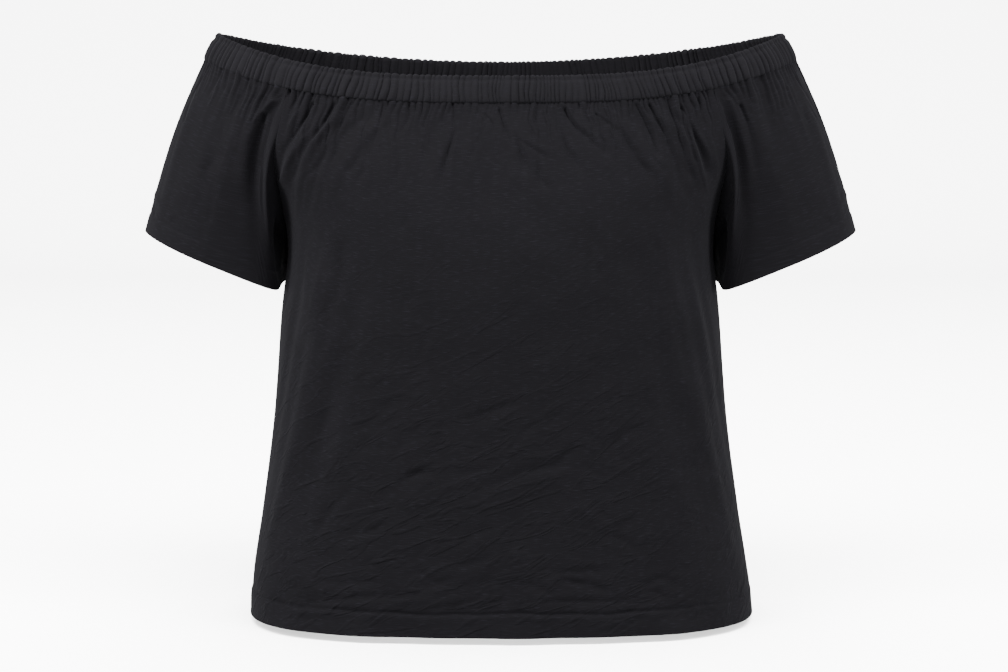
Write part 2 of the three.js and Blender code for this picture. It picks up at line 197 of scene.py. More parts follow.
# Creases: a trough or ridge along each curve, sharpest in its middle, with a soft low
# shoulder along one side. It dies away at its ends, or runs up to the seam it begins at.
def creaseRelief(x, y, creases):
    rise = np.zeros(x.shape)
    for widest, depth, path in creases:
        line = curveThrough(path)
        reach = 3.4 * widest
        low, high = line.min(0) - reach, line.max(0) + reach
        found = np.nonzero((x > low[0]) & (x < high[0]) & (y > low[1]) & (y < high[1]))
        px, py = x[found], y[found]
        near, along, beside = nearestOn(line, px, py)
        topY, overY = creaseShape["widens"]
        half = widest * (0.7 + 0.6 * along) * mix(creaseShape["narrow"], 1.0, ease((topY - py) / overY))
        fade = np.clip(np.sin(np.pi * (0.04 + 0.94 * along)), 0, 1) ** 0.7
        if path[0][1] > creaseShape["seamY"]:
            fade = np.cos(np.pi / 2 * np.clip(along, 0, 1)) ** 0.8
        shoulder = creaseShape["shoulder"] * np.exp(-((beside / half - 2.1) / 1.1) ** 2)
        rise[found] += creaseShape["deepen"] * depth * fade * (np.exp(-(near / half) ** 1.35) - shoulder)
    return rise


# Small creases between the main ones, at seeded places: each zone has its own heading, in
# degrees, which varies by its spread
def smallCreases(zones, seed):
    random = np.random.default_rng(seed)
    found = []
    for zone in zones:
        for _ in range(zone["count"]):
            x, y = random.uniform(*zone["x"]), random.uniform(*zone["y"])
            long = zone["long"] * random.uniform(0.5, 1.4) / 2
            heading = math.radians(zone["heading"] + zone["spread"] * random.uniform(-1, 1))
            dx, dy, bend = long * math.cos(heading), long * math.sin(heading), random.uniform(-0.3, 0.3)
            path = ((x - dx, y - dy), (x + bend * dy, y - bend * dx), (x + dx, y + dy))
            half, rise = zone["half"] * random.uniform(0.7, 1.3), zone["rise"] * random.uniform(0.5, 1.2)
            found.append((half, rise, path))
    return found


# The body: rows of ovals from the neckline's seam down to the hem. A seam is the angle, in
# degrees from the centre of the front or the back, where the panel ends: the armhole, then
# from the armpit down the side seam. Folds are those of the solids, a little softer; each is
# a line from one angle and height to another. The sides are pressed in under the armholes,
# where the sleeves hang beside them. The grid gives the depths below the top of its rows.
body = {
    "rows": {
        "z": (-8, -48, -90, -130, -160, -178, -228, -330, -430, -490, -531),
        "halfWidth": (276.5, 262, 234, 212, 205, 204.5, 207, 214, 226.5, 236, 241),
        "front": (120, 133, 144, 151, 153, 153, 150, 143, 138, 136, 135),
        "back": (106, 113, 118, 122, 124, 124, 122, 119, 122, 126, 128),
        "box": (0.03, 0.04, 0.05, 0.05, 0.05, 0.05, 0.06, 0.07, 0.08, 0.09, 0.1),
        "frontSeam": (43, 48, 58.5, 72, 84, 90, 90, 90, 90, 90, 90),
        "backSeam": (44, 49, 60, 73, 84, 90, 90, 90, 90, 90, 90),
    },
    "folds": [
        {"from": 47, "fromZ": -200, "to": 66, "toZ": -500, "half": 5.0, "rise": 3.6},
        {"from": 38, "fromZ": -210, "to": 54, "toZ": -480, "half": 6.5, "rise": -3.0},
        {"from": 58, "fromZ": -185, "to": 76, "toZ": -420, "half": 5.0, "rise": -2.6},
        {"from": 24, "fromZ": -30, "to": 47, "toZ": -130, "half": 2.6, "rise": 2.4},
        {"from": 28, "fromZ": -30, "to": 55, "toZ": -140, "half": 2.4, "rise": -2.4},
        {"from": 33, "fromZ": -30, "to": 63, "toZ": -150, "half": 2.6, "rise": 2.6},
        {"from": 12, "fromZ": -30, "to": 20, "toZ": -110, "half": 2.4, "rise": -1.6},
        {"from": 5, "fromZ": -30, "to": 8, "toZ": -120, "half": 2.0, "rise": 1.2},
    ],
    "foldShare": 0.7,
    "press": {"by": 3.6, "fromX": 178, "overX": 22, "z": -186, "half": 44},
    "seamDip": {"by": 0.5, "half": 2.4},
    "hem": {"depth": 24, "stitch": 1.5, "stitchHalf": 1.9, "pucker": 0.6, "puckerReach": 13,
            "wave": 1.1, "waveReach": 20},
    "grid": {"columns": 260, "fine": (-3.0, 45, 32), "coarse": (46.5, 487, 185), "hem": (488.5, 523, 24)},
    "tuck": {"up": 3.0, "by": 0.6},
}
topZ, armpitZ, hemZ = (body["rows"]["z"][k] for k in (0, 5, -1))

# Creases of the front: half width, rise, and points by the distance from the centre line and
# the height at the side
frontCreases = [
    (3, -2.2, ((-150, -14), (-162, -37), (-178, -64), (-187, -88), (-195, -115))),
    (3, -2.2, ((-171, -17), (-182, -40), (-197, -70), (-202, -95), (-205, -128))),
    (3.2, -1.2, ((-135, -12), (-145, -31), (-159, -60), (-170, -99))),
    (2.6, -1.5, ((-192, -9), (-197, -23), (-200, -37))),
    (2.6, -1.6, ((-182, -8), (-189, -25), (-192, -39))),
    (2.6, 1.3, ((-183, -24), (-188, -34), (-193, -45))),
    (2.6, -1.6, ((-170, -8), (-174, -22), (-179, -43))),
    (4, 1.9, ((-169, -38), (-182, -57), (-192, -77), (-199, -99), (-205, -121), (-205, -147), (-199, -162))),
    (3.2, 1.4, ((-150, -28), (-164, -46), (-175, -62), (-183, -81))),
    (2.8, -1.3, ((-106, -11), (-111, -35), (-116, -53))),
    (2.8, -1.2, ((-82, -10), (-83, -23), (-93, -39))),
    (2.6, -1.2, ((-43, -8), (-42, -22), (-43, -38))),
    (3, -1.9, ((-41, -33), (-48, -56), (-53, -75), (-53, -91))),
    (2.8, -1.4, ((-1, -14), (6, -38), (14, -52))),
    (3, -1.4, ((13, -36), (18, -52), (23, -75))),
    (3, -1.1, ((34, -61), (36, -80), (45, -89))),
    (3, -1.1, ((17, -42), (31, -52), (43, -61))),
    (3, -1.9, ((58, -14), (67, -29), (81, -43), (94, -58))),
    (2.6, -1.1, ((72, -10), (76, -20), (81, -29))),
    (2.8, -1.2, ((55, -33), (61, -52), (72, -71))),
    (3, -1.4, ((108, -35), (119, -55), (131, -75), (137, -87))),
    (3, -1.5, ((123, -13), (133, -32), (140, -57), (146, -83))),
    (3, -1.7, ((135, -14), (148, -39), (158, -70), (166, -98))),
    (3, -1.8, ((152, -11), (159, -36), (170, -73), (179, -107))),
    (3, -1.9, ((164, -20), (166, -37), (170, -52), (182, -89), (188, -123))),
    (2.8, -2.8, ((174, -39), (179, -55), (184, -71), (189, -95))),
    (2.8, 1.5, ((171, -43), (177, -64), (186, -101), (191, -119))),
    (2.6, -1.2, ((180, -10), (181, -20), (183, -31))),
    (10, 1.3, ((-141, -195), (-146, -225), (-161, -266), (-183, -339), (-196, -380), (-218, -471))),
    (6, 1.4, ((-165, -183), (-169, -208), (-177, -238), (-182, -259))),
    (6, 1.3, ((-175, -158), (-180, -198), (-182, -217))),
    (6, 1.3, ((-160, -158), (-168, -198), (-172, -218))),
    (10, -1.4, ((-157, -304), (-166, -334), (-176, -365))),
    (9, -1.6, ((-143, -148), (-146, -177), (-150, -207))),
    (10, 1.3, ((146, -192), (153, -227), (165, -277), (177, -318), (190, -360), (205, -420))),
    (8, 1.7, ((172, -185), (181, -226), (188, -266), (199, -336))),
    (8, -1.4, ((157, -209), (167, -254), (174, -290))),
    (4, -0.8, ((-114, -331), (-127, -344), (-140, -354))),
    (4, -0.6, ((-69, -318), (-87, -331), (-101, -349))),
    (4, -0.6, ((-64, -325), (-90, -342), (-104, -365))),
    (4.6, -0.6, ((-49, -317), (-62, -348), (-91, -379), (-127, -404))),
    (4.4, -0.2, ((-42, -343), (-64, -358), (-87, -380), (-110, -395))),
    (4.6, -0.9, ((17, -294), (-3, -302), (-30, -319))),
    (4, -0.8, ((-7, -360), (-25, -364), (-43, -369))),
    (4.6, -1, ((63, -358), (27, -363), (-1, -375), (-21, -384))),
    (4, -0.8, ((-5, -419), (-28, -429), (-42, -440))),
    (4.6, -1.0, ((-134, -386), (-153, -404), (-162, -420), (-176, -444))),
    (4.4, -0.9, ((-106, -419), (-127, -429), (-148, -438))),
    (4, -0.8, ((-8, -447), (-19, -454), (-42, -460))),
    (3.4, -0.7, ((-115, -455), (-123, -459), (-129, -464))),
    (3.6, -0.8, ((-38, -467), (-58, -476), (-79, -483))),
    (3.6, -0.9, ((-111, -477), (-144, -479), (-177, -483))),
    (3, -0.9, ((-65, -487), (-139, -494), (-206, -508))),
    (3.4, -0.9, ((45, -465), (73, -465), (101, -464))),
    (3.4, -0.9, ((54, -472), (91, -482), (102, -492))),
    (3.4, -0.8, ((129, -483), (147, -475), (166, -484))),
    (3, -0.7, ((138, -488), (147, -491), (155, -495))),
    (3, -0.9, ((27, -494), (77, -495), (128, -497))),
]
bodyZones = [
    {"x": (-190, -90), "y": (-95, -25), "count": 12, "long": 30,
     "heading": -112, "spread": 14, "half": 2.4, "rise": -0.7},
    {"x": (-90, 90), "y": (-80, -22), "count": 16, "long": 24,
     "heading": -90, "spread": 22, "half": 2.4, "rise": -0.55},
    {"x": (90, 190), "y": (-95, -25), "count": 14, "long": 30,
     "heading": -66, "spread": 14, "half": 2.4, "rise": -0.75},
    {"x": (-190, -60), "y": (-250, -120), "count": 9, "long": 44,
     "heading": -104, "spread": 12, "half": 4.5, "rise": -0.6},
    {"x": (60, 190), "y": (-250, -120), "count": 9, "long": 44,
     "heading": -76, "spread": 12, "half": 4.5, "rise": -0.6},
    {"x": (-190, 120), "y": (-450, -290), "count": 26, "long": 42,
     "heading": 32, "spread": 18, "half": 4.2, "rise": -0.6},
    {"x": (60, 210), "y": (-450, -300), "count": 12, "long": 44,
     "heading": 140, "spread": 24, "half": 4.6, "rise": -0.5},
    {"x": (-215, 215), "y": (-520, -450), "count": 30, "long": 34,
     "heading": 4, "spread": 16, "half": 3.2, "rise": -0.6},
]
# The back, which the photo hides, has like creases, moved a little and uneven
backCreases = [
    (half, rise * (0.95 if k % 2 else 0.7), tuple((x * 0.93 + 7 * math.sin(1.7 * k), y) for x, y in path))
    for k, (half, rise, path) in enumerate(frontCreases)
] + smallCreases(bodyZones, 7)
frontCreases = frontCreases + smallCreases(bodyZones, 3)


# A column of the body's rows at any height: a cubic through the rows that never overshoots
def rowsAt(key, z):
    zs = np.array(body["rows"]["z"][::-1], float)
    ys = np.array(body["rows"][key][::-1], float)
    long = np.diff(zs)
    step = np.diff(ys) / long
    both = step[:-1] * step[1:]
    slope = np.empty_like(ys)
    slope[0], slope[-1] = step[0], step[-1]
    slope[1:-1] = np.where(both > 0, 2 * both / np.where(both > 0, step[:-1] + step[1:], 1), 0)
    i = np.clip(np.searchsorted(zs, z, "right") - 1, 0, len(zs) - 2)
    t = np.clip((z - zs[i]) / long[i], 0, 1)
    return (ys[i] * (1 + 2 * t) * (1 - t) ** 2 + slope[i] * long[i] * t * (1 - t) ** 2
            + ys[i + 1] * t * t * (3 - 2 * t) + slope[i + 1] * long[i] * t * t * (t - 1))


# Body: an oval from the rows at each height, its neckline sink fading out towards the hem.
# Side is 1 for the front, -1 for the back; u runs from -1 to 1 between the panel's edges.
def bodyPoint(u, z, side):
    seam = np.radians(rowsAt("frontSeam" if side > 0 else "backSeam", z))
    angle = (0 if side > 0 else np.pi) + u * seam
    faded = np.clip((z - hemZ) / (topZ - hemZ), 0, 1)
    return ovalPoint(rowsAt("halfWidth", z), rowsAt("front", z), rowsAt("back", z),
                     rowsAt("box", z), angle, z - neckDrop(angle) * faded)


# How far the sides are pressed in: a bell over the height, that starts beyond a width
def sidePress(x, z):
    press = body["press"]
    return press["by"] * ease((np.abs(x) - press["fromX"]) / press["overX"]) * np.exp(
        -((z - press["z"]) / press["half"]) ** 2)


# Long folds of the body: a squared cosine across each line, dying away down it and at seams
def foldRelief(u, angle, below, z):
    rise = np.zeros(angle.shape)
    for fold in body["folds"]:
        t = (z - fold["fromZ"]) / (fold["toZ"] - fold["fromZ"])
        fade = np.where(t < 0, ease(1 + t * 3), np.cos(np.clip(t, 0, 1) * np.pi / 2))
        rise += fold["rise"] * fade * bump((angle - mix(fold["from"], fold["to"], t)) / fold["half"])
    nearSeam = 1 - ease((np.abs(u) - 0.9) / 0.1) * ease(below / gathers["reach"])
    return rise * ease(below / 25) * nearSeam * body["foldShare"]


# Relief of the body: folds, gathers, creases and the pressed sides; then the doubled hem,
# whose stitched line wavers, is drawn in less to the right and puckers the cloth, and a
# bottom edge that waves; and a dip into the side seams
def bodyRelief(u, z, side, x):
    key = "frontSeam" if side > 0 else "backSeam"
    seam = rowsAt(key, z)
    below = np.maximum(topZ - z, 0)
    neckAngle = (0 if side > 0 else np.pi) + u * math.radians(body["rows"][key][0])
    rise = foldRelief(u, np.abs(u) * seam, below, z)
    edge = (1 - np.abs(u)) * np.radians(seam) * rowsAt("halfWidth", z)
    offSeam = 1 - np.exp(-(edge / 8) ** 2) * ease(below / 12)
    creases = creaseRelief(x * side, z, frontCreases if side > 0 else backCreases)
    rise += (gatherRelief(neckAngle, below) + creases) * offSeam
    hem = body["hem"]
    line = hemZ + hem["depth"]
    waver = 0.7 * np.sin(x / 23 + side) + 0.5 * np.sin(x / 9.1)
    drawn = 1 - 0.5 * ease((x - 120) / 60)
    rise += cloth["hemRaised"] * ease((line - z + waver) / 3)
    rise -= hem["stitch"] * drawn * np.exp(-((z - line - waver) / hem["stitchHalf"]) ** 2)
    puckered = np.sin(x / 6.3 + 2 * np.sin(x / 31))
    rise += hem["pucker"] * np.exp(-((z - line) / hem["puckerReach"]) ** 2) * puckered
    lowest = ease((hemZ + hem["waveReach"] - z) / hem["waveReach"])
    rise += hem["wave"] * lowest * (np.sin(x / 27 + 1.3) + 0.6 * np.sin(x / 11.7))
    dip = body["seamDip"]
    return rise - sidePress(x, z) - dip["by"] * np.exp(-(edge / dip["half"]) ** 2) * ease((armpitZ - z) / 6)


# The sleeves, given as the right one. Share runs from the armpit up the front armhole, over
# the neckline between the two shares of neckShare, and down the back; cuffShare says where
# round the cuff those two places end. The cuff's inner half is squared off.
sleeve = {
    "cuff": {"x": 272.5, "y": -3, "z": -193, "half": 62.5, "inner": 64.5, "rise": 26, "depth": 62},
    "neckShare": (0.23, 0.77),
    "cuffShare": (0.2, 0.8),
    "hemDepth": 18,
    "folds": [
        {"at": 0.27, "drift": -0.05, "half": 0.028, "rise": 3.2},
        {"at": 0.33, "drift": -0.03, "half": 0.028, "rise": -2.6},
        {"at": 0.41, "drift": 0.0, "half": 0.026, "rise": 2.2},
        {"at": 0.5, "drift": 0.0, "half": 0.03, "rise": -1.6},
        {"at": 0.6, "drift": 0.01, "half": 0.03, "rise": 2.2},
        {"at": 0.68, "drift": 0.03, "half": 0.028, "rise": -2.4},
        {"at": 0.74, "drift": 0.05, "half": 0.028, "rise": 2.6},
    ],
    "foldShare": 0.5,
    "flat": (400, 190),
    "tuck": {"up": 4.2, "by": 0.8},
    "grid": {"columns": 220, "fine": (0, 0.2, 27), "coarse": (0.207, 0.86, 70), "hem": (0.868, 1, 24)},
}
# Creases of the sleeves: half width, rise, and points by the way round and the way down, in
# millimetres. Each has its own on the front; the shared ones lie over the shoulder and behind.
sharedCreases = [
    (3.0, -1.3, ((196, -2), (198, 30), (206, 70))),
    (3.0, -1.3, ((228, -2), (222, 34), (214, 80))),
    (3.2, -1.6, ((262, -2), (254, 40), (240, 86))),
    (3.4, -1.6, ((284, -2), (290, 42), (302, 88))),
    (5, 1.6, ((296, 20), (298, 70), (296, 130))),
    (17, 6.0, ((352, 50), (350, 110), (349, 170), (348, 250))),
    (19, -3.0, ((38, 50), (42, 110), (42, 176))),
    (6, 0.7, ((150, 160), (190, 150), (235, 158))),
]
leftCreases = [
    (4.5, 2.0, ((96, 14), (102, 34), (103, 46), (104, 58), (103, 78), (103, 103), (104, 118))),
    (3, -2.4, ((98, 30), (97, 44), (97, 59), (97, 77), (96, 94), (95, 110), (94, 125))),
    (3, 1.2, ((90, 80), (90, 101), (89, 111), (86, 120))),
    (2.8, -1.3, ((146, -2), (147, 10), (150, 34))),
    (7, -0.9, ((129, 101), (125, 89), (121, 76))),
    (2.6, -1.0, ((118, -2), (120, 20), (123, 48))),
    (2.8, -1.1, ((168, -2), (172, 20), (180, 52))),
]
rightCreases = [
    (7, -1.5, ((123, -2), (123, 14), (121, 39), (119, 65), (116, 90), (109, 123))),
    (2.5, 0.9, ((129, -2), (129, 15), (128, 35), (126, 56))),
    (2.5, 0.8, ((148, 20), (147, 48), (148, 70), (150, 89))),
    (4, 1.8, ((97, 14), (97, 35), (97, 54), (97, 84), (95, 118))),
    (3.2, -1.8, ((103, 22), (103, 50), (102, 75), (101, 110))),
    (3, -1.8, ((89, 22), (90, 38), (90, 80))),
    (2.8, -1.1, ((164, -2), (168, 24), (176, 60))),
]
sleeveZones = [
    {"x": (100, 310), "y": (8, 60), "count": 16, "long": 30,
     "heading": -90, "spread": 16, "half": 2.6, "rise": -0.6},
    {"x": (90, 320), "y": (70, 160), "count": 12, "long": 36,
     "heading": -74, "spread": 30, "half": 4.5, "rise": -0.5},
]


# Angle of the neckline that a share of the sleeve's head lies at
def seamAngle(share):
    low, high = sleeve["neckShare"]
    over = np.clip((share - low) / (high - low), 0, 1)
    return np.radians(mix(body["rows"]["frontSeam"][0], 180 - body["rows"]["backSeam"][0], over))


# Sleeve head: up the front armhole seam, over the neckline's seam, down the back one
def sleeveHead(share):
    low, high = sleeve["neckShare"]
    over = neckPoint(seamAngle(share), 0)
    front = mix(topZ, armpitZ, np.cos(np.clip(share / low, 0, 1) * np.pi / 2))
    back = mix(topZ, armpitZ, np.cos(np.clip((1 - share) / (1 - high), 0, 1) * np.pi / 2))
    return np.where((share < low)[..., None], bodyPoint(1, front, 1),
                    np.where((share > high)[..., None], bodyPoint(-1, back, -1), over))


# The way the cloth sets out from the head: out and down from the neckline, level with the
# body beside the armhole, then forward out of the armhole's lower part and down beside the body
def sleeveStart(share):
    low, high = sleeve["neckShare"]
    angle = seamAngle(share)
    over = np.clip((share - low) / (high - low), 0, 1)
    corner = 1 - ease(np.minimum(over, 1 - over) / 0.12)
    lean = mix(0.24, 0.54, np.sin(angle) ** 4) + 0.55 * corner
    level = 0.25 * np.sign(np.cos(angle)) * np.cos(angle) ** 2
    ahead = mix(-0.3 * np.cos(angle), level, corner)
    fromNeck = unit(np.stack([lean * np.sin(angle), ahead, np.full(angle.shape, -0.9)], -1))
    way = np.where(share < low, share / low, (1 - share) / (1 - high))
    down = np.clip(1 - way, 0, 1)
    pocket = np.sin(np.pi * ease((down - 0.3) / 0.7))
    forward = 0.75 * pocket - 0.15 * (1 - ease(down / 0.4))
    outwards = 0.16 + 0.45 * (1 - ease(down / 0.5)) + 0.1 * pocket
    creased = np.stack([outwards, np.where(share < low, -forward, forward), np.full(down.shape, -0.9)], -1)
    turned = unit(mix(fromNeck, creased, ease(down * 4)[..., None]))
    onNeck = (share >= low) & (share <= high)
    return np.where(onNeck[..., None], fromNeck, turned)


# Cuff: a tilted oval, squared off where it hangs beside the body
def cuffPoint(share):
    low, high = sleeve["neckShare"]
    lowTurn, highTurn = sleeve["cuffShare"]
    cuff = sleeve["cuff"]
    turn = mix(lowTurn, highTurn, (share - low) / (high - low))
    turn = np.where(share < low, share / low * lowTurn, turn)
    turn = np.where(share > high, 1 - (1 - share) / (1 - high) * (1 - highTurn), turn)
    angle = turn * 2 * np.pi
    inner = 1 - (1 - np.clip(np.cos(angle), 0, 1)) ** 3
    out = cuff["half"] * np.clip(-np.cos(angle), 0, 1) - cuff["inner"] * inner
    return np.stack([cuff["x"] + out, cuff["y"] - cuff["depth"] * np.sin(angle),
                     cuff["z"] + cuff["rise"] * out / cuff["half"]], -1)


# Length of the sleeve at a share: straight from its head to its cuff
def sleeveLength(share):
    return np.linalg.norm(sleeveHead(share) - cuffPoint(share), axis=-1)


# Sleeve: a cubic from head to cuff that sets out along the start and ends nearly upright
def sleevePoint(share, down):
    share, down = np.broadcast_arrays(share, down)
    start, end = sleeveHead(share), cuffPoint(share)
    reach = np.linalg.norm(start - end, axis=-1, keepdims=True)
    angle = share * 2 * np.pi
    outer = (1 - np.cos(angle)) / 2
    finish = unit(np.stack([mix(0.02, 0.27, outer), -0.1 * np.sin(angle), np.full(angle.shape, -1.0)], -1))
    t = down[..., None]
    return (start * (2 * t ** 3 - 3 * t ** 2 + 1) + sleeveStart(share) * (t ** 3 - 2 * t ** 2 + t) * reach
            + end * (3 * t ** 2 - 2 * t ** 3) + finish * (t ** 3 - t ** 2) * reach)


# Relief of a sleeve: folds, gathers, the doubled hem, and creases that end at its seams
def sleeveRelief(share, down, side, creases):
    low, high = sleeve["neckShare"]
    rise = np.zeros(share.shape)
    for fold in sleeve["folds"]:
        fade = np.sin(np.pi * np.clip(0.12 + down * 0.8, 0, 1)) ** 1.2
        rise += fold["rise"] * fade * bump((share - fold["at"] - fold["drift"] * down) / fold["half"])
    onNeck = ease((share - low) / 0.02) * ease((high - share) / 0.02)
    long = sleeveLength(share)
    gathered = onNeck * gatherRelief(side * seamAngle(share), down * long)
    rise = sleeve["foldShare"] * rise * onNeck * ease(down * 5) + gathered
    offNeck = ease(np.maximum(low - share, share - high) / 0.01)
    offSeam = (1 - np.exp(-(down * long / 8) ** 2) * offNeck) * ease((0.5 - np.abs(share - 0.5)) / 0.06)
    wide, deep = sleeve["flat"]
    rise += creaseRelief(share * wide, down * deep, creases) * offSeam
    fromHem = (1 - down) * long
    rise += cloth["hemRaised"] * ease((sleeve["hemDepth"] - fromHem) / 3)
    return rise - 0.25 * np.exp(-((fromHem - sleeve["hemDepth"]) / 1.4) ** 2)


# Outward normals of a surface: the cross product of short steps down and along it
def normalsOf(surface, u, v, du, dv):
    return unit(np.cross(surface(u, v + dv) - surface(u, v - dv), surface(u + du, v) - surface(u - du, v)))


# A mesh in metres from points and triangles in millimetres; flat marks the faceted ones
def meshFrom(name, points, triangles, flat, uv):
    mesh = bpy.data.meshes.new(name)
    mesh.vertices.add(len(points))
    mesh.vertices.foreach_set("co", (points * mm).astype(np.float32).ravel())
    mesh.loops.add(triangles.size)
    mesh.loops.foreach_set("vertex_index", triangles.astype(np.int32).ravel())
    mesh.polygons.add(len(triangles))
    mesh.polygons.foreach_set("loop_start", np.arange(0, triangles.size, 3, dtype=np.int32))
    mesh.polygons.foreach_set("use_smooth", ~flat)
    mesh.update(calc_edges=True)
    layer = mesh.uv_layers.new(name="cloth")
    layer.data.foreach_set("uv", (uv[triangles.ravel()] * mm).astype(np.float32).ravel())
    piece = bpy.data.objects.new(name, mesh)
    bpy.context.scene.collection.objects.link(piece)
    return piece


# Triangles between two lines of points that share their ends; the first line has a whole
# number of steps to each step of the second
def strip(fine, coarse):
    each = (len(fine) - 1) // (len(coarse) - 1)
    left, right = fine[:-1].reshape(-1, each), fine[1:].reshape(-1, each)
    anchor = np.where(np.arange(each) < each // 2, coarse[:-1, None], coarse[1:, None])
    closing = np.stack([left[:, each // 2], coarse[:-1], coarse[1:]], -1)
    return np.concatenate([np.stack([left, anchor, right], -1).reshape(-1, 3), closing])


# The lowest of each value and its two neighbours along a line
def lowestOf(line):
    return np.minimum(line, np.minimum(np.append(line[1:], line[-1]), np.append(line[0], line[:-1])))


# The first or last point of each of some lines
def endsOf(lines, k):
    return np.array([line[k] for line in lines])


# A cloth shell from rows of (way down, ways along): fine rows where the cloth is gathered,
# coarser ones below. The inside takes every other point and row, sunk by the cloth's
# thickness under the lowest relief near it, so that it never comes through the outside.
def clothShell(name, rows, place, mirror=False):
    counts = [len(along) for _, along in rows]
    u = np.concatenate([along for _, along in rows])
    v = np.repeat([down for down, _ in rows], counts)
    base, normal, rise, uv = place(u, v)
    lines = np.split(np.arange(len(u)), np.cumsum(counts)[:-1])
    low = rise.copy()
    for k, line in enumerate(lines):
        for other in lines[max(k - 1, 0):k + 2]:
            if len(other) == len(line):
                low[line] = np.minimum(low[line], lowestOf(rise[other]))
    outside = base + normal * rise[:, None]
    inside = base + normal * (low - cloth["thick"])[:, None]
    under = [line[::2] + len(u) for line in lines[::2]]
    faces = [strip(a, b) for a, b in zip(lines[:-1], lines[1:])]
    faces += [strip(a, b)[:, ::-1] for a, b in zip(under[:-1], under[1:])]
    smooth = sum(map(len, faces))
    faces += [strip(lines[0], under[0])[:, ::-1], strip(lines[-1], under[-1]),
              strip(endsOf(lines, 0), endsOf(under, 0)), strip(endsOf(lines, -1), endsOf(under, -1))[:, ::-1]]
    triangles = np.concatenate(faces)
    points = np.concatenate([outside, inside])
    if mirror:
        points, triangles = points * [-1, 1, 1], triangles[:, ::-1]
    return meshFrom(name, points, triangles, np.arange(len(triangles)) >= smooth, np.concatenate([uv, uv]))


# Rows of a piece, from low to 1 along: the fine ones with twice the columns, then the others
def shellRows(grid, low):
    fine, coarse, hem = (np.linspace(*grid[key]) for key in ("fine", "coarse", "hem"))
    return ([(down, np.linspace(low, 1, 2 * grid["columns"] + 1)) for down in fine]
            + [(down, np.linspace(low, 1, grid["columns"] + 1)) for down in np.concatenate([coarse, hem])])


# Flat coordinates of the body: along each row from the centre, down the centre line
def bodyUv(u, z, side):
    heights = np.linspace(topZ, hemZ, 60)
    grid = bodyPoint(np.linspace(-1, 1, 101)[None, :], heights[:, None], side)
    wide = np.linalg.norm(np.diff(grid, axis=1), axis=-1).sum(1)
    deep = np.concatenate([[0], np.cumsum(np.linalg.norm(np.diff(grid[:, 50], axis=0), axis=-1))])
    return np.stack([u * np.interp(-z, -heights, wide) / 2, -np.interp(-z, -heights, deep)], -1)


# A body panel: the body's surface and relief, with a top edge tucked up into the casing
def bodyPanel(name, side):
    def place(u, below):
        z = topZ - below
        tuck = body["tuck"]
        base = bodyPoint(u, np.minimum(z, topZ), side)
        normal = normalsOf(lambda a, b: bodyPoint(a, topZ - b, side), u, np.clip(below, 1, 522), 0.002, 0.8)
        rise = mix(bodyRelief(u, z, side, base[:, 0]), -tuck["by"], ease((z - topZ) / tuck["up"]))
        base[:, 2] += np.maximum(z - topZ, 0)
        return base, normal, rise, bodyUv(u, z, side)
    return clothShell(name, shellRows(body["grid"], -1.0), place)


# A sleeve: its surface and relief, its top edge tucked up into the casing, its armhole edges
# moved with the pressed sides, and its ends 0.1 mm to either side of the armpit
def sleevePiece(name, side, creases):
    def place(share, down):
        low, high = sleeve["neckShare"]
        tuck = sleeve["tuck"]
        base = sleevePoint(share, down)
        within = np.clip(share, 0.002, 0.998), np.clip(down, 0.003, 0.997)
        normal = normalsOf(sleevePoint, *within, 0.0015, 0.002)
        rise = sleeveRelief(share, down, side, creases)
        lift = np.clip(1 - down * 60, 0, 1) * ((share > low) & (share < high))
        base[:, 2] += tuck["up"] * lift
        onArmhole = (share < low) | (share > high)
        base[:, 0] -= sidePress(base[:, 0], base[:, 2]) * onArmhole * (1 - down) ** 4
        base[:, 1] += np.where(share == 0, -0.1, np.where(share == 1, 0.1, 0))
        wide = np.interp(down, [0, 1], [300, 400])
        uv = np.stack([(share - 0.5) * wide, -down * sleeveLength(share)], -1)
        return base, normal, rise - tuck["by"] * lift, uv
    return clothShell(name, shellRows(sleeve["grid"], 0.0), place, side < 0)


# The casing: how far up and how far out each point of its section lies, and how much the
# gathers ripple it, from the seam up the outside, over the frilled edge above the elastic,
# and down the inside. Flat says how long a radian, its height and the fold over are.
casing = {
    "up": (0.0, 0.05, 0.25, 0.5, 0.7, 0.81, 0.9, 0.97, 1.0, 0.96, 0.8, 0.5, 0.2, 0.04),
    "out": (0.1, 1.6, 2.7, 3.0, 2.7, 1.8, 2.0, 1.3, 0.0, -1.2, -1.6, -2.1, -1.9, -1.0),
    "ripple": (0.5, 0.9, 1.0, 0.9, 0.9, 0.6, 1.0, 1.1, 0.9, -0.9, -0.8, -0.9, -0.8, -0.5),
    "between": 2,
    "columns": 2800,
    "height": 0.95,
    "frill": 0.8,
    "flat": (230, 26, 40),
}


# A closed curve through the section's points, by the Catmull-Rom formula
def sectionAt(key):
    values = np.array(casing[key])
    t = np.arange(0, len(values), 1 / casing["between"])
    i = np.floor(t).astype(int)
    s = t - i
    p = [values[(i + k) % len(values)] for k in (-1, 0, 1, 2)]
    return 0.5 * (2 * p[1] + (p[2] - p[0]) * s + (2 * p[0] - 5 * p[1] + 4 * p[2] - p[3]) * s ** 2
                  + (3 * p[1] - p[0] - 3 * p[2] + p[3]) * s ** 3)


